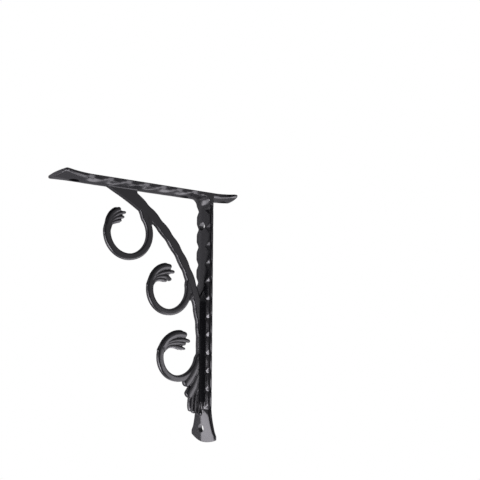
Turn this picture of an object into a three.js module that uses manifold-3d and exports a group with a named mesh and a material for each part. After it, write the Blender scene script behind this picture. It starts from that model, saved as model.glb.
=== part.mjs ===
// Cast shelf bracket: a wall plate, a shelf arm square to it, and a curved stem between them that
// carries three scrolls and a leaf. Everything is cast in one piece.
// Frame in millimetres: X out from the wall, Y along the wall, Z up. The wall is the plane X = 0,
// the shelf rests on the plane Z = 0, and the bracket is symmetric about Y = 0.
import * as THREE from "three";
import { mergeVertices } from "three/addons/utils/BufferGeometryUtils.js";
import Module from "manifold-3d";

const wasm = await Module();
wasm.setup();

// Bars: thickness at the edge and at the middle of the crowned face
const armLength = 200;
const plateBelowShelf = 129;
const plateAboveShelf = 23;
const barWidth = 19;
const barEdge = 3.2;
const barCrown = 5;
const crownPower = 1.7;
const sideShare = 0.35;
const edgeShare = 0.08;

// Flared ends
const flareWidth = 31.6;
const flareEdge = 2.2;
const flareCrown = 3.8;
const flarePower = 1.1;
const flareEase = 1.5;
const tipFlareLength = 22;
const footFlareLength = 26;
const stubFlareLength = 19;
const stubCrown = 4.6;
const endBow = 3.6;
const tipBow = 1.2;
const cornerRound = 1.6;

// Hammered notches in the long edges of the bars
const notchPitch = 14.5;
const notchLength = 9.6;
const notchReach = 4.5;
const notchInset = 1.5;
const notchDepth = 1.3;
const firstArmNotch = 13.4;
const firstPlateNotch = 24.4;
const lastPlateNotch = 17;

// Screw holes, by their distance from the end or the shelf line that they belong to
const holeDiameter = 7;
const armHoleFromWall = 26;
const armHoleFromEnd = 11;
const plateHoleFromTip = 13.5;
const plateHoleBelowShelf = 23;
const plateHoleFromTop = 7.5;

// Stem: a curve from the plate to the arm, then a straight tail along the arm
const stemThickness = 5;
const stemRootWidth = 10.1;
const stemWidth = 7;
const stemTaperLength = 45;
const stemRootFromTip = 46.6;
const stemRootAngle = 27;
const stemRootPull = 50;
const stemJoinFromEnd = 70.6;
const stemJoinPull = 64.5;
const stemDepth = 4.4;
const tailFromEnd = 22;
const stemDent = 0.55;
const stemDentLength = 9;
const firstStemDent = 29;
const edgeRound = 1;

// Heel: the small spur of the stem on the plate
const heelFromRoot = 16.3;
const heelRise = 2.4;
const heelChamfer = 1.8;
const heelLength = 14;

// Scrolls: each is a ring off the stem. share is its place along the stem's curve, lift how far its
// circle is from the stem's line, root where it leaves the stem, leafRoot where its leaf opens, and
// tips where each finger of that leaf ends, as [degrees, share of the radius]
const scrollRadius = 17.85;
const scrollWidth = 5;
const scrollThickness = 4.2;
const scrolls = [
  {
    share: 0.1825,
    lift: 5.4,
    root: -72,
    leafRoot: 196,
    tips: [[246, 0.99], [259, 0.81], [257, 0.68], [250, 0.58], [232, 0.53]],
  },
  {
    share: 0.607,
    lift: 3.3,
    root: -42,
    leafRoot: 208,
    tips: [[274, 0.96], [287, 0.81], [287, 0.62], [284, 0.43], [254, 0.39]],
  },
  {
    share: 1,
    lift: 3.75,
    root: -20,
    leafRoot: 214,
    tips: [[293, 0.94], [311, 0.81], [309, 0.62], [311, 0.43], [279, 0.36]],
  },
];
const fingerWidth = 3.4;
const fingerThickness = 4.6;
const fingerRootShare = 0.55;

// Leaf on the arm: each finger's root, bend and tip as [distance from the arm's end, depth below the
// shelf], and its width
const armLeaf = [
  { path: [[70, 7.1], [57, 11.5], [47.7, 19.8]], width: 5 },
  { path: [[64, 6.3], [47, 10.5], [36.9, 18.2]], width: 6 },
  { path: [[54, 6.1], [36, 9.5], [24.7, 14.2]], width: 5.6 },
  { path: [[46, 5.7], [32, 8], [22.8, 8.7]], width: 3.6 },
];
const leafThickness = 5.5;

// Fillets
const cornerFillet = 6;
const webWidth = 10.4;
const webFromEnd = 122;

// How far pieces that are cast together run into each other, and the shortest edge that is kept
const embed = 2;
const splinter = 0.07;

// Derived sizes
const armNotches = Math.floor((armLength - footFlareLength - firstArmNotch) / notchPitch) + 1;
const plateNotches =
  Math.floor((plateBelowShelf - firstPlateNotch - lastPlateNotch) / notchPitch) + 1;
const stemRootZ = stemRootFromTip - plateBelowShelf;
const stemJoinX = armLength - stemJoinFromEnd;
const tailX = armLength - tailFromEnd;

const rad = THREE.MathUtils.degToRad;

// A closed body from rings of points that all have the same count, with a fan over each end.
function loft(rings) {
  const count = rings[0].length;
  const positions = rings.flat(2);
  const index = [];
  for (let r = 0; r + 1 < rings.length; r++) {
    for (let i = 0; i < count; i++) {
      const a = r * count + i;
      const b = r * count + ((i + 1) % count);
      index.push(a, b, b + count, a, b + count, a + count);
    }
  }
  for (const end of [0, rings.length - 1]) {
    const middle = positions.length / 3;
    const sum = rings[end].reduce((t, p) => t.map((v, k) => v + p[k]), [0, 0, 0]);
    positions.push(...sum.map((v) => v / count));
    for (let i = 0; i < count; i++) {
      const a = end * count + i;
      const b = end * count + ((i + 1) % count);
      index.push(...(end === 0 ? [middle, b, a] : [middle, a, b]));
    }
  }
  const geometry = new THREE.BufferGeometry();
  geometry.setAttribute("position", new THREE.Float32BufferAttribute(positions, 3));
  geometry.setIndex(index);
  return geometry;
}

// A three.js geometry as a solid; one that is inside out is turned round.
function solid(geometry) {
  const plain = geometry.clone();
  plain.deleteAttribute("normal");
  plain.deleteAttribute("uv");
  const merged = mergeVertices(plain, 1e-4);
  const triVerts = new Uint32Array(merged.index.array);
  const make = () =>
    new wasm.Manifold(
      new wasm.Mesh({ numProp: 3, vertProperties: merged.attributes.position.array, triVerts }),
    );
  let made = make();
  if (made.volume() < 0) {
    for (let i = 0; i < triVerts.length; i += 3) {
      [triVerts[i + 1], triVerts[i + 2]] = [triVerts[i + 2], triVerts[i + 1]];
    }
    made = make();
  }
  return made;
}

function smoothMin(a, b, k) {
  const h = Math.max(k - Math.abs(a - b), 0) / k;
  return Math.min(a, b) - (h * h * k) / 4;
}

// How far into a notch a place along an edge is: 1 at its valley, 0 on the land between two.
function notchAt(s, start, pitch, count, length) {
  const nearest = Math.min(Math.max(Math.round((s - start) / pitch), 0), count - 1);
  return Math.max(0, 1 - Math.abs(s - start - nearest * pitch) / (length / 2));
}

// A flat-backed bar with a crowned face. Each end is { at, flare, bow, crown }: where it ends, how
// long its flare is, how far its end bows out and how thick the flare's middle is.
function bar(ends, notches, place) {
  const middle = (ends[0].at + ends[1].at) / 2;
  const stations = [];
  for (let k = 0; k < notches.count; k++) {
    for (const d of [-0.5, -0.25, 0, 0.25, 0.5]) {
      stations.push(notches.start + k * notchPitch + d * notchLength);
    }
  }
  for (const { at, flare, bow } of ends) {
    const inward = Math.sign(middle - at);
    for (const share of [0.03, 0.15, 0.4, 0.7, 1]) stations.push(at + inward * share * bow);
    if (!flare) stations.push(at);
    else {
      for (const share of [0.08, 0.16, 0.26, 0.38, 0.52, 0.68, 0.84, 1]) {
        stations.push(at + inward * (bow + share * (flare - bow)));
      }
    }
  }
  stations.sort((p, q) => p - q);
  const rings = stations
    .filter((s, i) => i === 0 || s - stations[i - 1] > splinter)
    .map((s) => {
      let half = barWidth / 2;
      let reach = half;
      let edge = barEdge;
      let crown = barCrown;
      let power = crownPower;
      for (const end of ends) {
        const fromEnd = Math.abs(end.at - s);
        if (!end.flare || fromEnd > end.flare) continue;
        const share = Math.min((end.flare - fromEnd) / (end.flare - end.bow - edgeRound), 1);
        reach = half + ((flareWidth - barWidth) / 2) * share ** flareEase;
        edge = barEdge + (flareEdge - barEdge) * share;
        crown = barCrown + (end.crown - barCrown) * share;
        power = crownPower + (flarePower - crownPower) * share;
        half = smoothMin(reach, (flareWidth / 2) * Math.sqrt(fromEnd / end.bow), cornerRound);
      }
      const height = (y) => edge + (crown - edge) * (1 - Math.min(Math.abs(y) / reach, 1) ** power);
      const n = notchAt(s, notches.start, notchPitch, notches.count, notchLength);
      const rim = half * (1 - edgeShare);
      const inner = rim - (notchReach - half * edgeShare) * n;
      const side = [
        [half, 0],
        [half, height(half) * sideShare],
        [half - notchInset * n, height(half) - notchDepth * n],
        [inner, height(inner)],
        [inner / 2, height(inner / 2)],
      ];
      const mirrored = side.map(([y, h]) => [-y, h]).reverse();
      return [...side, [0, height(0)], ...mirrored].map(([y, h]) => place(s, y, h));
    });
  return solid(loft(rings));
}

// A body swept along a line in [x, z]. section(i) gives the outline there as [across, y] pairs.
function sweep(line, section) {
  const rings = line.map((p, i) => {
    const a = line[Math.max(i - 1, 0)];
    const b = line[Math.min(i + 1, line.length - 1)];
    const length = Math.hypot(b[0] - a[0], b[1] - a[1]);
    const n = [-(b[1] - a[1]) / length, (b[0] - a[0]) / length];
    return section(i).map(([across, y]) => [p[0] + n[0] * across, y, p[1] + n[1] * across]);
  });
  return solid(loft(rings));
}

// A flat band with its four long edges taken off; halves has one half-width for each station.
function band(line, halves, thickness) {
  const deep = thickness / 2;
  return sweep(line, (i) => {
    const half = halves[i];
    const off = Math.min(edgeRound, half / 2);
    return [
      [half, deep - off],
      [half - off, deep],
      [off - half, deep],
      [-half, deep - off],
      [-half, off - deep],
      [off - half, -deep],
      [half - off, -deep],
      [half, off - deep],
    ];
  });
}

// A rounded finger: narrow root, broad middle and blunt tip.
function finger(line, width, thickness, rootShare) {
  const sides = 6;
  const reach = 1 / Math.cos(Math.PI / sides);
  const fullAt = 0.8;
  const bluntFrom = 0.75;
  const tipShare = 0.2;
  const rootDepth = 0.85;
  return sweep(line, (i) => {
    const t = i / (line.length - 1);
    const grown = Math.sin((Math.min(t / fullAt, 1) * Math.PI) / 2);
    const swell = rootShare + (1 - rootShare) * grown;
    const late = Math.max((t - bluntFrom) / (1 - bluntFrom), 0);
    const blunt = Math.max(Math.sqrt(1 - late ** 2), tipShare);
    const half = (width / 2) * swell * blunt * reach;
    const deep = (thickness / 2) * (rootDepth + (1 - rootDepth) * swell) * Math.sqrt(blunt) * reach;
    return Array.from({ length: sides }, (_, k) => {
      const angle = ((k + 0.5) / sides) * 2 * Math.PI;
      return [half * Math.cos(angle), deep * Math.sin(angle)];
    });
  });
}

// The stem's middle line from the plate to the arm, as a curve in (x, z)
const stemCurve = new THREE.CubicBezierCurve(
  new THREE.Vector2(barEdge, stemRootZ),
  new THREE.Vector2(
    barEdge + stemRootPull * Math.sin(rad(stemRootAngle)),
    stemRootZ + stemRootPull * Math.cos(rad(stemRootAngle)),
  ),
  new THREE.Vector2(stemJoinX - stemJoinPull, -stemDepth),
  new THREE.Vector2(stemJoinX, -stemDepth),
);

function scroll({ share, lift, root, leafRoot, tips }) {
  const foot = stemCurve.getPointAt(share);
  const tangent = stemCurve.getTangentAt(share);
  const away = scrollRadius + lift;
  const centre = [foot.x + tangent.y * away, foot.y - tangent.x * away];
  const onRing = (radius, degrees) => [
    centre[0] + radius * Math.sin(rad(degrees)),
    centre[1] + radius * Math.cos(rad(degrees)),
  ];
  const underLeaf = 12;
  const stepDegrees = 9;
  const thinFrom = 3;
  const rootShare = 0.55;
  const endShare = 0.45;
  const growth = 0.15;
  const last = leafRoot + underLeaf;
  const steps = Math.round((last - root) / stepDegrees);
  const line = Array.from({ length: steps + 1 }, (_, i) =>
    onRing(scrollRadius, root + ((last - root) * i) / steps),
  );
  const half = line.map((_, i) => {
    const rest = Math.sqrt(Math.min((steps - i) / thinFrom, 1));
    const grown = Math.min(rootShare + growth * i, 1);
    return (scrollWidth / 2) * (endShare + (1 - endShare) * rest) * grown;
  });
  let made = band(line, half, scrollThickness);
  const stations = 6;
  const fingerOverlap = 14;
  const fingerStagger = 3;
  const outermost = 0.2;
  const spread = 0.14;
  const inward = 1.5;
  tips.forEach(([degrees, tipShare], k) => {
    const from = leafRoot - fingerOverlap - fingerStagger * k;
    const start = scrollRadius + scrollWidth * (outermost - spread * k);
    const end = scrollRadius * tipShare;
    const path = Array.from({ length: stations + 1 }, (_, i) => {
      const t = i / stations;
      return onRing(start + (end - start) * t ** inward, from + (degrees - from) * t);
    });
    made = made.add(finger(path, fingerWidth, fingerThickness, fingerRootShare));
  });
  return made;
}

function stem() {
  const length = stemCurve.getLength();
  const count = Math.round((4 * length) / stemDentLength);
  const dents = Math.floor((length - firstStemDent) / notchPitch);
  const line = stemCurve.getSpacedPoints(count).map((p) => [p.x, p.y]);
  const half = line.map((_, i) => {
    const s = (i * length) / count;
    const taper = Math.min(s / stemTaperLength, 1);
    const n = notchAt(s, firstStemDent, notchPitch, dents, stemDentLength);
    return (stemRootWidth + (stemWidth - stemRootWidth) * taper) / 2 - stemDent * n;
  });
  const tailSteps = 8;
  const tailTip = 0.3;
  for (let i = 1; i <= tailSteps; i++) {
    const t = i / tailSteps;
    line.push([stemJoinX + (tailX - stemJoinX) * t, -stemDepth]);
    half.push((stemWidth / 2) * Math.max(Math.sqrt(1 - t ** 4), tailTip));
  }
  return band(line, half, stemThickness).add(heel()).trimByPlane([1, 0, 0], embed / 2);
}

function heel() {
  const top = stemRootZ + heelFromRoot;
  const rise = barCrown + heelRise;
  const deep = (stemThickness - splinter) / 2;
  const outline = [
    [embed, top],
    [rise, top],
    [rise + heelChamfer, top + heelChamfer],
    [rise + 2 * heelChamfer + embed, top],
    [rise, top - heelLength + embed],
    [embed, top - heelLength],
  ];
  return solid(loft([-deep, deep].map((y) => outline.map(([x, z]) => [x, y, z]))));
}

// The cast web that blends the stem into the arm's face along their seam.
function web() {
  const stations = 10;
  const sunkShare = 0.78;
  const shoulderShare = 0.66;
  const neckShare = 0.42;
  const endShare = 0.22;
  const start = armLength - webFromEnd;
  const top = stemDepth + stemWidth / 2 - 1.4 * edgeRound;
  const rings = Array.from({ length: stations + 1 }, (_, i) => {
    const t = i / stations;
    const x = start + (tailX - edgeRound - start) * t;
    const ease = Math.max(Math.sqrt(1 - (2 * t - 1) ** 6), endShare);
    const foot = (webWidth / 2) * ease;
    const neck = stemThickness * neckShare * ease;
    const height = top * ease + barCrown * sunkShare * (1 - ease);
    const side = [
      [foot, embed],
      [foot, barCrown * sunkShare],
      [foot * shoulderShare, barCrown],
      [neck, height],
    ];
    const mirrored = side.map(([y, h]) => [-y, h]).reverse();
    return [...side, ...mirrored].map(([y, h]) => [x, y, -h]);
  });
  return solid(loft(rings));
}

// The fillet where the arm meets the plate, following the crowned faces of both.
function corner() {
  const stations = 8;
  const arcSteps = 6;
  const rings = Array.from({ length: stations + 1 }, (_, i) => {
    const y = barWidth * (i / stations - 0.5);
    const across = (Math.abs(y) / (barWidth / 2)) ** crownPower;
    const centre = barEdge + (barCrown - barEdge) * (1 - across) + cornerFillet;
    const arc = Array.from({ length: arcSteps + 1 }, (_, k) => {
      const angle = (k / arcSteps) * (Math.PI / 2);
      const x = centre - cornerFillet * Math.sin(angle);
      return [x, y, cornerFillet * Math.cos(angle) - centre];
    });
    return [[embed / 2, y, -embed / 2], [centre, y, -embed / 2], ...arc, [embed / 2, y, -centre]];
  });
  return solid(loft(rings));
}

// A screw hole across a bar at the place given, along that bar's thickness.
function hole(x, z) {
  const through = 6 * barCrown;
  const geometry = new THREE.CylinderGeometry(holeDiameter / 2, holeDiameter / 2, through, 28);
  if (x === 0) geometry.rotateZ(Math.PI / 2);
  else geometry.rotateX(Math.PI / 2);
  geometry.translate(x, 0, z);
  return solid(geometry);
}

function bracket() {
  const plate = bar(
    [
      { at: -plateBelowShelf, flare: tipFlareLength, bow: tipBow, crown: flareCrown },
      { at: plateAboveShelf, flare: stubFlareLength, bow: endBow, crown: stubCrown },
    ],
    { start: firstPlateNotch - plateBelowShelf, count: plateNotches },
    (s, y, h) => [h, y, s],
  );
  const arm = bar(
    [
      { at: embed / 4, flare: 0, bow: 0 },
      { at: armLength, flare: footFlareLength, bow: endBow, crown: flareCrown },
    ],
    { start: firstArmNotch, count: armNotches },
    (s, y, h) => [s, y, -h],
  );
  let made = plate.add(arm).add(corner()).add(stem()).add(web());
  for (const one of scrolls) made = made.add(scroll(one));
  for (const { path, width } of armLeaf) {
    const points = path.map(([fromEnd, depth]) => new THREE.Vector2(armLength - fromEnd, -depth));
    const line = new THREE.QuadraticBezierCurve(...points).getPoints(6).map((p) => [p.x, p.y]);
    made = made.add(finger(line, width, leafThickness, fingerRootShare));
  }
  const holes = [
    [armHoleFromWall, 0],
    [armLength - armHoleFromEnd, 0],
    [0, plateHoleFromTip - plateBelowShelf],
    [0, -plateHoleBelowShelf],
    [0, plateAboveShelf - plateHoleFromTop],
  ];
  for (const [x, z] of holes) made = made.subtract(hole(x, z));
  return made;
}

function geometryOf(made) {
  const out = made.getMesh();
  const positions = new Float32Array(out.numVert * 3);
  for (let i = 0; i < out.numVert; i++) {
    positions.set(out.vertProperties.subarray(i * out.numProp, i * out.numProp + 3), i * 3);
  }
  const geometry = new THREE.BufferGeometry();
  geometry.setAttribute("position", new THREE.BufferAttribute(positions, 3));
  geometry.setIndex(new THREE.BufferAttribute(out.triVerts, 1));
  return geometry;
}

// The same surface without the splinters that joining leaves: each edge shorter than the limit
// is closed up to one vertex, and the faces on it go.
function withoutSplinters(geometry, limit) {
  const at = geometry.attributes.position;
  const old = geometry.index.array;
  const stand = Array.from({ length: at.count }, (_, i) => i);
  const find = (i) => {
    while (stand[i] !== i) i = stand[i];
    return i;
  };
  const a = new THREE.Vector3();
  const b = new THREE.Vector3();
  for (let i = 0; i < old.length; i += 3) {
    for (let k = 0; k < 3; k++) {
      const from = find(old[i + k]);
      const to = find(old[i + ((k + 1) % 3)]);
      if (from === to) continue;
      a.fromBufferAttribute(at, from);
      b.fromBufferAttribute(at, to);
      if (a.distanceTo(b) < limit) stand[Math.max(from, to)] = Math.min(from, to);
    }
  }
  const kept = [];
  for (let i = 0; i < old.length; i += 3) {
    const [p, q, r] = [0, 1, 2].map((k) => find(old[i + k]));
    if (p !== q && q !== r && r !== p) kept.push(p, q, r);
  }
  const cleaned = geometry.clone();
  cleaned.setIndex(kept);
  return cleaned;
}

const blackCoat = new THREE.MeshStandardMaterial({
  color: 0x131315,
  roughness: 0.35,
  metalness: 0.2,
});

const mesh = new THREE.Mesh(withoutSplinters(geometryOf(bracket()), splinter), blackCoat);
mesh.name = "bracket";
const group = new THREE.Group();
group.add(mesh);

export default group;
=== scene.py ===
# %% [markdown]
# # A cast shelf bracket
# The bracket is one casting: a plate for the wall, an arm for the shelf, and a curved stem between
# them that carries three scrolls and some leaves. This lesson first loads the plain solid model, then
# sets the camera and the lights, models the casting in fine detail, and gives it its black coat.

# %% Load the plain model
import math

import bmesh
import bpy
from mathutils import Matrix, Vector


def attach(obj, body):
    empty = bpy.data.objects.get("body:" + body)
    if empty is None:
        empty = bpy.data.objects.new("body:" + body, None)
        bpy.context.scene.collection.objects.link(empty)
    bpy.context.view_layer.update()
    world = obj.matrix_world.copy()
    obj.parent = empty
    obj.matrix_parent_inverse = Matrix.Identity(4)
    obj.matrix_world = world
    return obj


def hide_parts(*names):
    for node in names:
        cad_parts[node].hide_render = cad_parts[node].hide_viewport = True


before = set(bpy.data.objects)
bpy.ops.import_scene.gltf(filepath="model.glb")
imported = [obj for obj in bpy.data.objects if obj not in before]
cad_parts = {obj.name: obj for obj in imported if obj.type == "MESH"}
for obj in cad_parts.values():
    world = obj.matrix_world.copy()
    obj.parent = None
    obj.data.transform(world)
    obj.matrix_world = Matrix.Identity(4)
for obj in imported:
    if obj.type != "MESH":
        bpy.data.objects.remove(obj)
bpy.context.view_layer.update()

MM = 0.001


def deselect_all():
    """Clear the selection, because an operator acts on all that is selected."""
    if bpy.context.object and bpy.context.object.mode != "OBJECT":
        bpy.ops.object.mode_set(mode="OBJECT")
    bpy.ops.object.select_all(action="DESELECT")


def active(name):
    """Name the object that an operator has just added, and hand it back."""
    obj = bpy.context.object
    obj.name = name
    obj.data.name = name
    return obj


deselect_all()

# %% [markdown]
# ## Camera
# The bracket is seen from well below the shelf line and from one side, through a lens of about 42 mm.
# The camera could be aimed with a constraint, but three axes written out say exactly which way is
# right and down in the picture. It looks up along the casting and is rolled so that the arm runs down
# the picture. The lens is shifted a little, because the bracket fills the left part of the frame.

# %% Camera
CAMERA_TILT = math.radians(36.727)
CAMERA_ROLL = math.radians(0.545)
camera_place = Vector((87.23, -356.97, -275.37)) * MM
forward = Vector((0, math.cos(CAMERA_TILT), math.sin(CAMERA_TILT)))
right = Vector((0, -math.sin(CAMERA_TILT), math.cos(CAMERA_TILT)))
down = Vector((1, 0, 0))
camera_x = math.cos(CAMERA_ROLL) * right - math.sin(CAMERA_ROLL) * down
camera_y = -(math.sin(CAMERA_ROLL) * right + math.cos(CAMERA_ROLL) * down)

bpy.ops.object.camera_add(location=camera_place)
camera = active("camera")
turn = Matrix((camera_x, camera_y, -forward)).transposed()
camera.rotation_euler = turn.to_euler()
camera.data.sensor_width = 36
camera.data.lens = 41.62
camera.data.shift_x = 0.0898
camera.data.shift_y = 0.1292
camera.data.clip_end = 20
bpy.context.scene.camera = camera
print("camera at", tuple(round(v, 3) for v in camera_place))

# %% [markdown]
# ## Light
# A black coat shows what stands round it more than its own colour. The bright bands of the photograph
# lie on faces that mirror a few soft lights, and all else mirrors a dim room. The dim room is the
# world: an even grey with soft patches, each placed by the direction in which a reflection leaves. A
# picture of a studio could stand there instead, but patches are few and easy to move one by one. The
# camera itself sees plain white behind the bracket.

# %% World
world = bpy.data.worlds.new("studio")
bpy.context.scene.world = world
world.use_nodes = True
world_nodes = world.node_tree.nodes
world_links = world.node_tree.links
world_nodes.clear()
direction = world_nodes.new("ShaderNodeTexCoord")


def room_direction(out, around):
    """A direction: out degrees from the wall's plane towards +X, around degrees from -Z to +Y."""
    out, around = math.radians(out), math.radians(around)
    flat = math.cos(out)
    return Vector((math.sin(out), flat * math.sin(around), -flat * math.cos(around)))


def soft_patch(towards, inner, outer, strength):
    """A round patch of the room: full strength inside inner degrees, nothing outside outer."""
    aim = world_nodes.new("ShaderNodeVectorMath")
    aim.operation = "DOT_PRODUCT"
    aim.inputs[1].default_value = room_direction(*towards)
    fade = world_nodes.new("ShaderNodeMapRange")
    fade.interpolation_type = "SMOOTHSTEP"
    fade.inputs["From Min"].default_value = math.cos(math.radians(outer))
    fade.inputs["From Max"].default_value = math.cos(math.radians(inner))
    fade.inputs["To Max"].default_value = strength
    world_links.new(direction.outputs["Generated"], aim.inputs[0])
    world_links.new(aim.outputs["Value"], fade.inputs["Value"])
    return fade.outputs["Result"]


def add_up(values, start):
    """The sum of several node outputs and a starting number."""
    total = None
    for value in values:
        step = world_nodes.new("ShaderNodeMath")
        step.operation = "ADD"
        step.inputs[0].default_value = start
        if total is not None:
            world_links.new(total, step.inputs[0])
        world_links.new(value, step.inputs[1])
        total = step.outputs["Value"]
    return total


ROOM_STRENGTH = 0.24
STUDIO_COLOUR = (0.96, 0.93, 1)
WALL_AHEAD = ((90, 0), 28, 52, 0.8)
WINDOW_ABOVE = ((62, 162), 14, 32, 3.6)
CAMERA_SIDE = ((-5, -115), 8, 50, 0.45)
DARK_SCREEN = ((5, -48), 16, 34, -0.22)
patches = [
    soft_patch(*patch) for patch in (WALL_AHEAD, WINDOW_ABOVE, CAMERA_SIDE, DARK_SCREEN)
]
seen = world_nodes.new("ShaderNodeBackground")
seen.inputs["Color"].default_value = (1, 1, 1, 1)
room = world_nodes.new("ShaderNodeBackground")
room.inputs["Color"].default_value = (*STUDIO_COLOUR, 1)
world_links.new(add_up(patches, ROOM_STRENGTH), room.inputs["Strength"])
path = world_nodes.new("ShaderNodeLightPath")
choose = world_nodes.new("ShaderNodeMixShader")
out = world_nodes.new("ShaderNodeOutputWorld")
world_links.new(path.outputs["Is Camera Ray"], choose.inputs["Fac"])
world_links.new(room.outputs["Background"], choose.inputs[1])
world_links.new(seen.outputs["Background"], choose.inputs[2])
world_links.new(choose.outputs["Shader"], out.inputs["Surface"])
bpy.context.scene.view_settings.view_transform = "Standard"

# %% [markdown]
# The lamps are area lights, which give the soft-edged bands that a real softbox gives. The large one
# stands low beyond the arm's free end and lights the foot. A small one close by puts the spark in the
# arm's notches. A panel above, on the camera's side, fills the faces that look up.

# %% Softboxes
TARGET = Vector((90, 0, -40)) * MM


def add_softbox(name, towards, distance, size, radiance):
    """A rectangular area light that looks at the bracket, its height towards +X."""
    aim = room_direction(*towards)
    side = Vector((1, 0, 0)).cross(aim).normalized()
    place = TARGET + aim * distance
    bpy.ops.object.light_add(type="AREA", location=place)
    softbox = active(name)
    softbox.data.shape = "RECTANGLE"
    softbox.data.size, softbox.data.size_y = size
    softbox.data.color = STUDIO_COLOUR
    softbox.data.energy = radiance * math.pi * size[0] * size[1]
    softbox.rotation_euler = Matrix((side, aim.cross(side), aim)).transposed().to_euler()
    return softbox


add_softbox("softbox", (31, 31), 1.2, (0.76, 1.1), 6)
add_softbox("softbox_core", (41, -8), 0.52, (0.22, 0.18), 14)
add_softbox("fill_panel", (28, -140), 1, (0.73, 0.85), 3.8)
deselect_all()

# %% [markdown]
# ## Floor
# A pale floor far under the bracket, as in a studio. The bracket hangs on a wall, so nothing rests on
# the floor, and the camera looks up past it. It lies towards the far side and isn't large, so that
# faces that look down mirror the dim room and not a bright floor.

# %% Floor
bpy.ops.mesh.primitive_plane_add(size=5, location=(0, 2.1, -1.2))
floor = active("floor")
floor_paint = bpy.data.materials.new("pale_floor")
floor_paint.use_nodes = True
floor_shader = floor_paint.node_tree.nodes["Principled BSDF"]
floor_shader.inputs["Base Color"].default_value = (0.8, 0.8, 0.8, 1)
floor_shader.inputs["Roughness"].default_value = 0.9
floor.data.materials.append(floor_paint)
deselect_all()

# %% [markdown]
# ## Tools for the casting
# Each part of the casting starts as a primitive and is shaped in edit mode. A few small helpers are
# used all through: one selects vertices by their place, and one moves each vertex by a rule, as a
# hammer or a file would. The others set a piece in its place and apply a modifier.

# %% Helpers


def pick(obj, rule):
    """In edit mode, select the vertices whose place in millimetres passes the rule."""
    mesh = bmesh.from_edit_mesh(obj.data)
    for vertex in mesh.verts:
        vertex.select_set(rule(*(vertex.co / MM)))
    mesh.select_flush_mode()
    bmesh.update_edit_mesh(obj.data)


def press(obj, rule):
    """In edit mode, move each vertex to where the rule puts it, in millimetres."""
    mesh = bmesh.from_edit_mesh(obj.data)
    for vertex in mesh.verts:
        vertex.co = Vector(rule(*(vertex.co / MM))) * MM
    bmesh.update_edit_mesh(obj.data)


def apply_place(obj, rotation=(0, 0, 0), location=(0, 0, 0)):
    """Turn and move the piece, then put its place into its mesh."""
    deselect_all()
    obj.select_set(True)
    bpy.context.view_layer.objects.active = obj
    obj.rotation_euler = [math.radians(a) for a in rotation]
    obj.location = [v * MM for v in location]
    bpy.ops.object.transform_apply(location=True, rotation=True, scale=True)
    return obj


def apply_modifier(obj, kind, **settings):
    """Add a modifier, set it and apply it."""
    bpy.context.view_layer.objects.active = obj
    modifier = obj.modifiers.new(kind.lower(), kind)
    for key, value in settings.items():
        setattr(modifier, key, value)
    bpy.ops.object.modifier_apply(modifier=modifier.name)


def cut(obj, cutter, operation="DIFFERENCE"):
    """Cut one closed piece with another, and throw the cutter away."""
    apply_modifier(obj, "BOOLEAN", object=cutter, operation=operation, solver="EXACT")
    bpy.data.objects.remove(cutter)


# %% [markdown]
# ## Bars
# The plate and the arm are the same kind of bar: flat on the back, crowned on the face, with a flared
# end. A hammer has left a row of notches in both long edges, one every 14.5 mm. They could be cut
# with booleans, but a rule that moves vertices gives each its slanting sides without seams. The bar
# starts as a flat grid with a row of vertices for each 0.8 mm, gets its thickness by extruding the
# sheet down, and its crown, flares and notches by moving the top vertices. A small bevel rounds its
# outer edges, so that the mesh of the casting follows them without steps.

# %% One bar
BAR_WIDTH, BAR_EDGE, BAR_CROWN, BAR_ROUND = 19, 3.2, 5, 0.8
BAR_STEP, BAR_COLUMNS, BAR_BEVEL = 0.8, 28, 0.4
FLARE_WIDTH, FLARE_EDGE, BOW_REACH = 31.6, 2.2, 10
RIM_DROP = 0.25
NOTCH_PITCH, NOTCH_LENGTH, NOTCH_DEPTH, NOTCH_INSET, NOTCH_REACH = 14.5, 9.6, 1.5, 1, 6
WAVE_SHARE = 0.45


def smooth_step(t):
    """0 below 0, 1 above 1, and an even rise between."""
    t = min(max(t, 0), 1)
    return t * t * (3 - 2 * t)


def notch_at(s, first, count, pitch=NOTCH_PITCH, length=NOTCH_LENGTH):
    """1 at the valley of a notch, 0 between two."""
    nearest = min(max(round((s - first) / pitch), 0), count - 1)
    return max(0, 1 - abs(s - first - nearest * pitch) / (length / 2))


def half_width(share):
    """Half the bar's width, from plain (share 0) to fully flared (share 1)."""
    return BAR_WIDTH / 2 * (1 + (FLARE_WIDTH / BAR_WIDTH - 1) * share**1.5)


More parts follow.
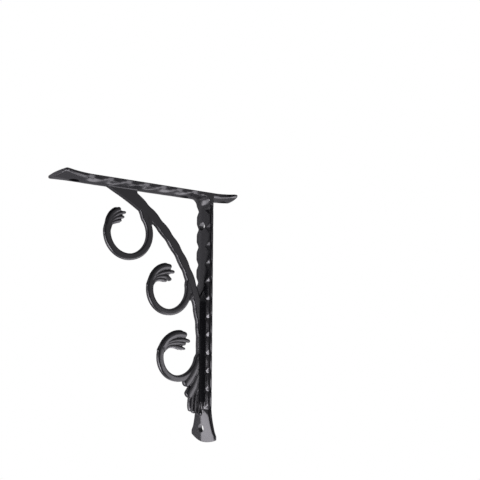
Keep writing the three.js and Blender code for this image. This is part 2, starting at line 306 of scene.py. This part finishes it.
def make_bar(name, start, end, ends, first_notch, notches, softly):
    """A bar along X, its back on Z = 0. ends holds (at, flare length, bow, crown)."""
    rows = round((end - start) / BAR_STEP)
    bpy.ops.mesh.primitive_grid_add(
        x_subdivisions=rows, y_subdivisions=BAR_COLUMNS, size=1
    )
    bar = active(name)
    bpy.ops.object.mode_set(mode="EDIT")
    bpy.ops.transform.resize(value=((end - start) * MM, BAR_WIDTH * MM, 1))
    bpy.ops.transform.translate(value=((start + end) / 2 * MM, 0, BAR_EDGE * MM))
    bpy.ops.mesh.select_all(action="SELECT")
    bpy.ops.mesh.extrude_region_move(
        TRANSFORM_OT_translate={"value": (0, 0, -BAR_EDGE * MM)}
    )

    def flare_share(x):
        for at, length, bow, crown in ends:
            if length and abs(x - at) < length:
                return min((length - abs(x - at)) / (length - bow - 1), 1), at, bow, crown
        return 0, 0, 0, BAR_CROWN

    def widen(x, y, z):
        share, at, bow, _ = flare_share(x)
        across = y / (BAR_WIDTH / 2)
        y *= 1 + (FLARE_WIDTH / BAR_WIDTH - 1) * share**1.5
        if share:
            near = max(0, 1 - abs(x - at) / BOW_REACH)
            x += math.copysign(bow * across * across * near, (start + end) / 2 - at)
        return x, y, z

    def crown(x, y, z):
        if z < BAR_EDGE / 2:
            return x, y, z
        share, _, _, top = flare_share(x)
        half = half_width(share)
        across = min(abs(y) / half, 1)
        edge = BAR_EDGE + (FLARE_EDGE - BAR_EDGE) * share
        top = BAR_CROWN + (top - BAR_CROWN) * share
        z = edge + (top - edge) * (1 - across ** (1.7 - 0.6 * share))
        rim = max(0, 1 - (1 - across) * half / BAR_ROUND)
        z -= RIM_DROP * edge * rim * rim
        reach, share_of_depth = NOTCH_REACH, 1
        if softly:
            n = smooth_step(notch_at(x, first_notch, notches, length=NOTCH_PITCH))
            share_of_depth = WAVE_SHARE
        else:
            n = notch_at(x, first_notch, notches)
            reach *= n
        inner = half - reach
        if n and abs(y) > inner:
            into_edge = (abs(y) - inner) / reach
            if softly:
                into_edge = smooth_step(into_edge)
            y -= math.copysign(NOTCH_INSET * n * into_edge, y)
            z -= NOTCH_DEPTH * n * into_edge * share_of_depth
        return x, y, z

    press(bar, widen)
    press(bar, crown)
    bpy.ops.mesh.select_all(action="SELECT")
    bpy.ops.mesh.normals_make_consistent(inside=False)
    bpy.ops.object.mode_set(mode="OBJECT")
    apply_modifier(
        bar, "BEVEL", width=BAR_BEVEL * MM, segments=2, angle_limit=math.radians(55)
    )
    print(name, "has", len(bar.data.polygons), "faces")
    return bar


# %% [markdown]
# The arm keeps the notches sharp. On the plate they are worn to smooth waves, with less depth.

# %% Arm and plate
arm = make_bar("arm", 0.5, 200, [(200, 26, 3.6, 3.8)], 13.4, 12, False)
apply_place(arm, rotation=(180, 0, 0))
plate = make_bar("plate", -23, 129, [(129, 22, 1.2, 3.8), (-23, 19, 3.6, 4.6)], 17.6, 7, True)
apply_place(plate, rotation=(0, 90, 0))

# %% [markdown]
# ## Stem
# The stem is a flat strip with hammered edges, bent in one sweep from the plate to the arm. It could
# be drawn as a curved outline, but it is modelled straight, as a smith would cut it, so that its
# dents keep an even pitch, and then bent along a curve with the Curve modifier.

# %% Stem
STEM_THICK = 5


def make_strip(name, length, width, thick, rows, round_edge):
    """A straight strip along X with rounded long edges, its width along Z."""
    bpy.ops.mesh.primitive_cube_add(size=1)
    strip = active(name)
    bpy.ops.object.mode_set(mode="EDIT")
    bpy.ops.transform.resize(value=(length * MM, thick * MM, width * MM))
    bpy.ops.transform.translate(value=(length / 2 * MM, 0, 0))
    bpy.ops.mesh.select_mode(type="EDGE")
    mesh = bmesh.from_edit_mesh(strip.data)
    for edge in mesh.edges:
        a, b = (v.co / MM for v in edge.verts)
        edge.select_set(abs(a.x - b.x) > length / 2)
    bmesh.update_edit_mesh(strip.data)
    bpy.ops.mesh.bevel(offset=round_edge * MM, segments=4, affect="EDGES")
    mesh = bmesh.from_edit_mesh(strip.data)
    for edge in mesh.edges:
        a, b = (v.co / MM for v in edge.verts)
        edge.select_set(abs(a.x - b.x) > length / 2)
    bmesh.update_edit_mesh(strip.data)
    bpy.ops.mesh.subdivide(number_cuts=rows - 1)
    bpy.ops.mesh.select_mode(type="VERT")
    return strip


def make_path(name, points):
    """A Bezier curve through points, each (place, handle before, handle after) as (x, z)."""
    bpy.ops.curve.primitive_bezier_curve_add()
    line = active(name)
    spline = line.data.splines[0]
    spline.bezier_points.add(len(points) - 2)
    for knot, (place, before, after) in zip(spline.bezier_points, points):
        knot.handle_left_type = knot.handle_right_type = "FREE"
        knot.co = Vector((place[0], 0, place[1])) * MM
        knot.handle_left = Vector((before[0], 0, before[1])) * MM
        knot.handle_right = Vector((after[0], 0, after[1])) * MM
    spline.resolution_u = 64
    line.data.twist_mode = "Z_UP"
    return line


root_x, root_z, root_turn, root_pull = 3.2, -82.4, math.radians(27), 50
join_x, join_z, join_pull, tail_x = 129.4, -4.4, 64.5, 178
root_handle = (
    root_x + root_pull * math.sin(root_turn),
    root_z + root_pull * math.cos(root_turn),
)
back_x, back_z = root_x - 9 * math.sin(root_turn), root_z - 9 * math.cos(root_turn)
stem_path = make_path(
    "stem_path",
    [
        ((back_x, back_z), (back_x, back_z), (root_x - 1, root_z - 1 / math.tan(root_turn))),
        ((root_x, root_z), (root_x - 1, root_z - 1 / math.tan(root_turn)), root_handle),
        ((join_x, join_z), (join_x - join_pull, join_z), (join_x + 16, join_z)),
        ((tail_x, join_z), (tail_x - 16, join_z), (tail_x, join_z)),
    ],
)
stem_length = sum(s.calc_length() for s in stem_path.data.splines) / MM
print("stem length", round(stem_length, 1), "mm")

deselect_all()
stem = make_strip("stem", stem_length, 7.3, STEM_THICK, 220, 1)


def shape_stem(x, y, z):
    taper = min(max((x - 9) / 45, 0), 1)
    width = 10.1 / 7 + (1 - 10.1 / 7) * taper
    dent = notch_at(x, 38, 9, length=9)
    tail = max(0, (x - (stem_length - 40)) / 40)
    width *= 1 - 0.155 * math.sin(dent * math.pi / 2)
    width *= math.sqrt(max(1 - tail**4, 0.1))
    return x, y, z * width


press(stem, shape_stem)
bpy.ops.object.mode_set(mode="OBJECT")
apply_modifier(stem, "CURVE", object=stem_path, deform_axis="POS_X")
bpy.ops.object.mode_set(mode="EDIT")
bpy.ops.mesh.select_all(action="SELECT")
bpy.ops.mesh.bisect(
    plane_co=(1 * MM, 0, 0), plane_no=(1, 0, 0), clear_inner=True, use_fill=True
)
bpy.ops.object.mode_set(mode="OBJECT")
low = [round(min(v.co[k] for v in stem.data.vertices) / MM, 1) for k in range(3)]
high = [round(max(v.co[k] for v in stem.data.vertices) / MM, 1) for k in range(3)]
print("stem spans", low, high)

# %% [markdown]
# ## Scrolls
# Each scroll is a bar of one radius, wound round a centre beside the stem. It is made by spinning a
# rounded section about that centre, which keeps it a true circle. Its root is thin and sunk into the
# stem, so that it grows out of the metal, and its far end thins down between the lobes of the leaf.

# %% Scroll rings
SCROLL_RADIUS, SCROLL_WIDTH, SCROLL_THICK, SCROLL_SINK = 17.85, 5, 4.4, 1.2
scrolls = [
    ((36.6, -72.2), -72, 196),
    ((77.4, -35.8), -42, 208),
    ((129.5, -26), -20, 214),
]


def on_ring(centre, radius, degrees):
    """A place on a circle in the bracket's plane, counted from +Z towards +X."""
    turn = math.radians(degrees)
    return centre[0] + radius * math.sin(turn), centre[1] + radius * math.cos(turn)


def make_ring(name, centre, first, last):
    """A spun ring from one angle to another."""
    bpy.ops.mesh.primitive_cube_add(size=1)
    ring = active(name)
    bpy.ops.object.mode_set(mode="EDIT")
    bpy.ops.transform.resize(value=(SCROLL_THICK * MM, SCROLL_THICK * MM, SCROLL_WIDTH * MM))
    bpy.ops.mesh.select_mode(type="EDGE")
    mesh = bmesh.from_edit_mesh(ring.data)
    for edge in mesh.edges:
        a, b = (v.co / MM for v in edge.verts)
        edge.select_set(abs(a.x - b.x) > 1)
    bmesh.update_edit_mesh(ring.data)
    bpy.ops.mesh.bevel(offset=1.1 * MM, segments=4, affect="EDGES")
    bpy.ops.mesh.select_mode(type="VERT")
    pick(ring, lambda x, y, z: x < 0)
    bpy.ops.mesh.delete(type="VERT")
    bpy.ops.mesh.select_all(action="SELECT")
    bpy.ops.transform.translate(value=(-SCROLL_THICK / 2 * MM, 0, SCROLL_RADIUS * MM))
    bpy.ops.transform.rotate(
        value=-math.radians(first), orient_axis="Y", center_override=(0, 0, 0)
    )
    bpy.ops.mesh.spin(
        steps=round((last - first) / 3),
        angle=math.radians(last - first),
        center=(0, 0, 0),
        axis=(0, -1, 0),
    )
    bpy.ops.mesh.select_all(action="SELECT")
    bpy.ops.mesh.remove_doubles(threshold=0.01 * MM)
    bpy.ops.mesh.select_mode(type="EDGE")
    bpy.ops.mesh.select_all(action="DESELECT")
    bpy.ops.mesh.select_non_manifold()
    bpy.ops.mesh.edge_face_add()
    bpy.ops.mesh.select_all(action="SELECT")
    bpy.ops.mesh.normals_make_consistent(inside=False)
    bpy.ops.mesh.select_mode(type="VERT")

    def blend_ends(x, y, z):
        turn = math.degrees(math.atan2(x, z))
        while turn < first - 1:
            turn += 360
        while turn > last + 1:
            turn -= 360
        radius = math.hypot(x, z)
        out_of_stem = smooth_step((turn - first) / 32)
        into_leaf = smooth_step((last - turn) / 30)
        offset = radius - SCROLL_RADIUS
        if offset < 0:
            offset *= (1.5 * out_of_stem - 0.5) * (1.45 - 0.45 * into_leaf)
        else:
            offset *= 0.8 + 0.2 * into_leaf
        offset += SCROLL_SINK * (1 - out_of_stem)
        scale = (SCROLL_RADIUS + offset) / radius
        return x * scale, y * (0.45 + 0.55 * into_leaf), z * scale

    press(ring, blend_ends)
    bpy.ops.object.mode_set(mode="OBJECT")
    return apply_place(ring, location=(centre[0], 0, centre[1]))


pieces = [arm, plate, stem]
for k, (centre, root, leaf_root) in enumerate(scrolls):
    deselect_all()
    ring = make_ring(f"ring_{k + 1}", centre, root, leaf_root + 14)
    pieces.append(ring)
    low = [round(min(v.co[k] for v in ring.data.vertices) / MM, 1) for k in range(3)]
    high = [round(max(v.co[k] for v in ring.data.vertices) / MM, 1) for k in range(3)]
    print(ring.name, "spans", low, high, len(ring.data.polygons))

# %% [markdown]
# ## Leaves of the scrolls
# A leaf is a fan of rounded lobes with grooves between them. They could be sculpted, but curves with a
# swelling radius are easy to place, so each lobe is one curve, made a mesh and pressed flat. Under
# each lies a wider, thinner core that closes the gaps. A lobe is written down by its angle and radius
# round the scroll's centre at its start, middle and tip.

# %% Leaf lobes


def make_finger(name, knots, radii, depth, flatten=0.65):
    """A curve with a swelling radius, made a mesh with a flattened face depth from the middle."""
    bpy.ops.curve.primitive_nurbs_path_add()
    line = active(name)
    spline = line.data.splines[0]
    if len(knots) > len(spline.points):
        spline.points.add(len(knots) - len(spline.points))
    for point, (x, z), radius in zip(spline.points, knots, radii):
        point.co = (x * MM, 0, z * MM, 1)
        point.radius = radius
    spline.order_u = 3
    spline.use_endpoint_u = True
    spline.resolution_u = 6
    line.data.bevel_depth = 1 * MM
    line.data.bevel_resolution = 3
    line.data.use_fill_caps = True
    bpy.ops.object.convert(target="MESH")
    finger = active(name)
    bpy.ops.object.mode_set(mode="EDIT")
    bpy.ops.mesh.select_all(action="SELECT")
    widest = max(radii)
    press(
        finger,
        lambda x, y, z: (x, math.copysign(depth * abs(y / widest) ** flatten, y), z),
    )
    bpy.ops.mesh.normals_make_consistent(inside=False)
    bpy.ops.object.mode_set(mode="OBJECT")
    return finger


LOBE_DEPTH, CORE_DEPTH, CORE_MORE = 2.2, 1.1, 0.7
ROOT_BACK, ROOT_STEP = 22, 0.75
LOBE_AT = [0, 0.2, 0.4, 0.6, 0.8, 0.92, 0.965, 0.99, 1]
LOBE = [0.75, 0.88, 0.98, 1, 1, 0.95, 0.8, 0.5, 0.15]


def through(points, at):
    """The value at a place of the parabola through three (place, value) points."""
    value = 0
    for i, (here, height) in enumerate(points):
        share = 1
        for j, (other, _) in enumerate(points):
            if i != j:
                share *= (at - other) / (here - other)
        value += height * share
    return value


def make_lobe(name, centre, start, points, radius, least):
    """A rounded lobe of a scroll's leaf, and the thin core that ties it to its neighbours."""
    first, last = points[0][0], points[-1][0]
    for part, end, wide, deep in (
        ("lobe", 1, radius, LOBE_DEPTH),
        ("core", 0.85, radius + CORE_MORE, CORE_DEPTH),
    ):
        deselect_all()
        knots = [on_ring(centre, start[1], start[0])]
        for t in LOBE_AT:
            degrees = first + (last - first) * t * end
            knots.append(on_ring(centre, through(points, degrees), degrees))
        radii = [least * wide] + [max(share, least) * wide for share in LOBE[:-4]]
        radii += [share * wide for share in LOBE[-4:]]
        pieces.append(make_finger(f"{name}_{part}", knots, radii, deep))


leaves = [
    [
        ([(202, 18.3), (224, 18.7), (247, 17.8)], 2),
        ([(203, 17.6), (227, 16.2), (259, 14.5)], 1.25),
        ([(202, 16.6), (224, 14.2), (249, 11.4)], 1.25),
        ([(200, 15.8), (213, 13.2), (232, 10.4)], 1.1),
    ],
    [
        ([(209, 18.2), (238, 18.2), (275, 17)], 2.4),
        ([(210, 17.4), (239, 14.4), (288, 13.9)], 1.6),
        ([(208, 16.2), (236, 11.9), (277, 6.6)], 1.75),
        ([(205, 15), (226, 10.1), (241, 6.6)], 1.15),
    ],
    [
        ([(214, 17.9), (259, 17.3), (294, 16.9)], 2.7),
        ([(215, 16.8), (257, 13), (313, 14.6)], 1.7),
        ([(214, 15.8), (257, 10.8), (303, 10.6)], 1.7),
        ([(212, 14.6), (249, 8.4), (316, 7.4)], 1.2),
        ([(213, 13.6), (249, 7.2), (280, 5.6)], 0.9),
    ],
]
for k, leaf in enumerate(leaves):
    centre, _, leaf_root = scrolls[k]
    for j, (points, radius) in enumerate(leaf):
        start = (leaf_root - ROOT_BACK, SCROLL_RADIUS + ROOT_STEP * (1 - j))
        make_lobe(f"leaf_{k + 1}_{j + 1}", centre, start, points, radius, 0.6 if j else 0.95)
print(len(pieces), "pieces so far")

# %% [markdown]
# ## Leaf on the arm
# Beyond the last scroll two broad lobes and three narrow ones spread from the stem's tail. They are
# made as the other lobes are. Here each follows an arc given by its two ends and a point that pulls
# it, because they share no centre.

# %% Leaf on the arm
ARM_LEAF_DEPTH = 2.75
arm_leaf = [
    ([(134, -8), (147, -12), (152.8, -21.2)], 3.4, 0.3),
    ([(142, -7), (155, -10.5), (162.3, -18.3)], 3.6, 0.3),
    ([(150, -7), (160, -17), (174.5, -14.6)], 2, 0.65),
    ([(152, -7), (164, -12.5), (176.3, -11.4)], 2.1, 0.65),
    ([(154, -6), (167, -8), (177.4, -7.6)], 2.6, 0.65),
]
for k, (bend, radius, flatten) in enumerate(arm_leaf):
    deselect_all()
    knots = []
    for t in LOBE_AT:
        knots.append(
            tuple(
                (1 - t) ** 2 * bend[0][c] + 2 * t * (1 - t) * bend[1][c] + t * t * bend[2][c]
                for c in range(2)
            )
        )
    radii = [share * radius for share in LOBE]
    pieces.append(make_finger(f"arm_leaf_{k + 1}", knots, radii, ARM_LEAF_DEPTH, flatten))

# %% [markdown]
# ## Fillets
# Cast metal has no sharp inner corners. A concave web runs along the seam of stem and arm, a rounded
# fillet fills the corner between arm and plate, and the crotches where two scrolls leave the stem are
# filled. The web's hollow is a bevel whose profile bends inwards. The corner is a block from which a
# cylinder is cut, so that the fillet has one true radius.

# %% Web along the stem
WEB_LENGTH, WEB_WIDTH, WEB_HEIGHT, WEB_HOLLOW, WEB_END = 100, 11.4, 6.4, 4, 0.2


def make_web():
    """A block with two hollowed long edges and drawn-in ends."""
    bpy.ops.mesh.primitive_cube_add(size=1)
    web = active("web")
    bpy.ops.object.mode_set(mode="EDIT")
    bpy.ops.transform.resize(value=(WEB_LENGTH * MM, WEB_WIDTH * MM, WEB_HEIGHT * MM))
    bpy.ops.mesh.select_mode(type="EDGE")
    mesh = bmesh.from_edit_mesh(web.data)
    for edge in mesh.edges:
        a, b = (v.co / MM for v in edge.verts)
        edge.select_set(abs(a.x - b.x) > 1 and a.z < 0)
    bmesh.update_edit_mesh(web.data)
    bpy.ops.mesh.bevel(offset=WEB_HOLLOW * MM, segments=8, profile=0.32, affect="EDGES")
    bpy.ops.mesh.select_mode(type="VERT")
    for x in (-40, 40):
        bpy.ops.mesh.select_all(action="SELECT")
        bpy.ops.mesh.bisect(plane_co=(x * MM, 0, 0), plane_no=(1, 0, 0))

    def draw_in(x, y, z):
        return (x, y * 0.5, max(z, WEB_END)) if abs(x) > 41 else (x, y, z)

    press(web, draw_in)
    bpy.ops.object.mode_set(mode="OBJECT")
    return apply_place(web, location=(127, 0, -5.2))


deselect_all()
pieces.append(make_web())

# %% Corner fillet
CORNER = 6


def make_corner():
    """A block in the corner, hollowed by a cylinder, high in the middle as the bars are."""
    bpy.ops.mesh.primitive_cube_add(size=1)
    corner = active("corner")
    bpy.ops.object.mode_set(mode="EDIT")
    size = 4 + CORNER
    bpy.ops.transform.resize(value=(size * MM, 19 * MM, size * MM))
    bpy.ops.transform.translate(value=((1 + size / 2) * MM, 0, -(1 + size / 2) * MM))
    bpy.ops.object.mode_set(mode="OBJECT")
    deselect_all()
    bpy.ops.mesh.primitive_cylinder_add(
        vertices=96, radius=CORNER * MM, depth=30 * MM, rotation=(math.pi / 2, 0, 0),
        location=((5 + CORNER) * MM, 0, -(5 + CORNER) * MM),
    )
    cutter = active("corner_cutter")
    deselect_all()
    corner.select_set(True)
    cut(corner, cutter)
    bpy.context.view_layer.objects.active = corner
    bpy.ops.object.mode_set(mode="EDIT")

    def crown(x, y, z):
        drop = 1.8 * (abs(y) / 9.5) ** 1.7
        return x - (drop if x > 3 else 0), y, z + (drop if z < -3 else 0)

    bpy.ops.mesh.select_all(action="SELECT")
    bpy.ops.mesh.bisect(plane_co=(0, 0, 0), plane_no=(0, 1, 0))
    for y in (-7.5, -5, -2.5, 2.5, 5, 7.5):
        bpy.ops.mesh.select_all(action="SELECT")
        bpy.ops.mesh.bisect(plane_co=(0, y * MM, 0), plane_no=(0, 1, 0))
    press(corner, crown)
    bpy.ops.object.mode_set(mode="OBJECT")
    return corner


pieces.append(make_corner())

# %% Metal in the crotches
crotches = [((26.2, -55.5), (28.7, -53.5), 1.25), ((82.6, -15.6), (85.1, -16.6), 1.35)]
CROTCH_STEPS, CROTCH_TAPER = 4, 0.2
for k, (root, tip, radius) in enumerate(crotches):
    for j in range(CROTCH_STEPS):
        t = j / (CROTCH_STEPS - 1)
        x, z = (root[c] + (tip[c] - root[c]) * t for c in range(2))
        deselect_all()
        bpy.ops.mesh.primitive_cylinder_add(
            vertices=32,
            radius=radius * (1 - CROTCH_TAPER * t) * MM,
            depth=STEM_THICK * MM,
            location=(x * MM, 0, z * MM),
            rotation=(math.pi / 2, 0, 0),
        )
        pieces.append(active(f"crotch_{k + 1}_{j + 1}"))

# %% [markdown]
# ## Heel
# A small spur stands on the plate where the stem meets it. Part of it lies inside the stem, so a
# block is enough: the casting's smoothing rounds what shows.

# %% Heel on the plate
HEEL_SIZE = (5.6, 4.9, 12)
HEEL_PLACE = (4.6, 0, -72.2)
deselect_all()
bpy.ops.mesh.primitive_cube_add(size=1)
heel = active("heel")
bpy.ops.object.mode_set(mode="EDIT")
bpy.ops.transform.resize(value=[v * MM for v in HEEL_SIZE])
bpy.ops.transform.translate(value=[v * MM for v in HEEL_PLACE])
bpy.ops.object.mode_set(mode="OBJECT")
pieces.append(heel)

# %% [markdown]
# ## One casting
# All the pieces are joined, and a voxel remesh runs them together into one skin, as the mould did. A
# boolean union would keep every seam hard. A little smoothing takes the edges off, a decimation keeps
# the casting below 200,000 triangles, and a last smoothing evens what the decimation leaves.

# %% Join and remesh
VOXEL, KEPT_SHARE = 0.38, 0.46
deselect_all()
for piece in pieces:
    piece.select_set(True)
bpy.context.view_layer.objects.active = plate
bpy.ops.object.join()
bracket = active("bracket_casting")
bpy.data.objects.remove(stem_path)
apply_modifier(
    bracket, "REMESH", mode="VOXEL", voxel_size=VOXEL * MM, use_smooth_shade=True
)
print("the mould gives", len(bracket.data.polygons), "faces")
apply_modifier(bracket, "SMOOTH", factor=0.5, iterations=3)
apply_modifier(bracket, "DECIMATE", ratio=KEPT_SHARE)
apply_modifier(bracket, "SMOOTH", factor=0.4, iterations=2)
print("casting has", len(bracket.data.polygons), "faces")

# %% [markdown]
# ## Screw holes
# Two plain round holes go through the arm and three through the plate. They are cut after the remesh,
# with all the drills joined in one cutter, so that their edges stay crisp.

# %% Screw holes
HOLE_RADIUS, DRILL_LENGTH = 3.5, 30
holes = [((x, 0, 0), 0) for x in (26, 189)] + [((0, 0, z), 90) for z in (-115.5, -23, 15.5)]
deselect_all()
drills = []
for place, turned in holes:
    bpy.ops.mesh.primitive_cylinder_add(
        vertices=48,
        radius=HOLE_RADIUS * MM,
        depth=DRILL_LENGTH * MM,
        location=[v * MM for v in place],
        rotation=(0, math.radians(turned), 0),
    )
    drills.append(active("drill"))
for drill in drills:
    drill.select_set(True)
bpy.ops.object.join()
drill = active("drills")
deselect_all()
bracket.select_set(True)
cut(bracket, drill)
bpy.context.view_layer.objects.active = bracket
bpy.ops.object.shade_smooth_by_angle(angle=math.radians(50))
triangles = sum(len(face.vertices) - 2 for face in bracket.data.polygons)
print("casting has", triangles, "triangles")

# %% [markdown]
# ## Black coat
# The coat is a satin black powder coat. It is smooth but not flat: it shows the orange peel of the
# powder at under a millimetre, and the slow waves of the casting under it. Both are noise on Object
# coordinates, so that the pattern stays put on the metal.

# %% Coat material
coat = bpy.data.materials.new("black_coat_fine")
coat.use_nodes = True
nodes, links = coat.node_tree.nodes, coat.node_tree.links
shader = nodes["Principled BSDF"]
shader.inputs["Base Color"].default_value = (0.004, 0.004, 0.005, 1)
shader.inputs["Roughness"].default_value = 0.24
where = nodes.new("ShaderNodeTexCoord")
peel = nodes.new("ShaderNodeTexNoise")
peel.inputs["Scale"].default_value = 900
peel.inputs["Detail"].default_value = 3
waves = nodes.new("ShaderNodeTexNoise")
waves.inputs["Scale"].default_value = 90
waves.inputs["Detail"].default_value = 2
peel_bump = nodes.new("ShaderNodeBump")
peel_bump.inputs["Strength"].default_value = 0.05
peel_bump.inputs["Distance"].default_value = 0.1 * MM
wave_bump = nodes.new("ShaderNodeBump")
wave_bump.inputs["Strength"].default_value = 0.15
wave_bump.inputs["Distance"].default_value = 1 * MM
links.new(where.outputs["Object"], peel.inputs["Vector"])
links.new(where.outputs["Object"], waves.inputs["Vector"])
links.new(waves.outputs["Fac"], wave_bump.inputs["Height"])
links.new(peel.outputs["Fac"], peel_bump.inputs["Height"])
links.new(wave_bump.outputs["Normal"], peel_bump.inputs["Normal"])
links.new(peel_bump.outputs["Normal"], shader.inputs["Normal"])
bracket.data.materials.clear()
bracket.data.materials.append(coat)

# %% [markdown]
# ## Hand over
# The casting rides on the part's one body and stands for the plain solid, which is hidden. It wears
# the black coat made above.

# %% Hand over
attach(bracket, "root")
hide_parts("bracket")
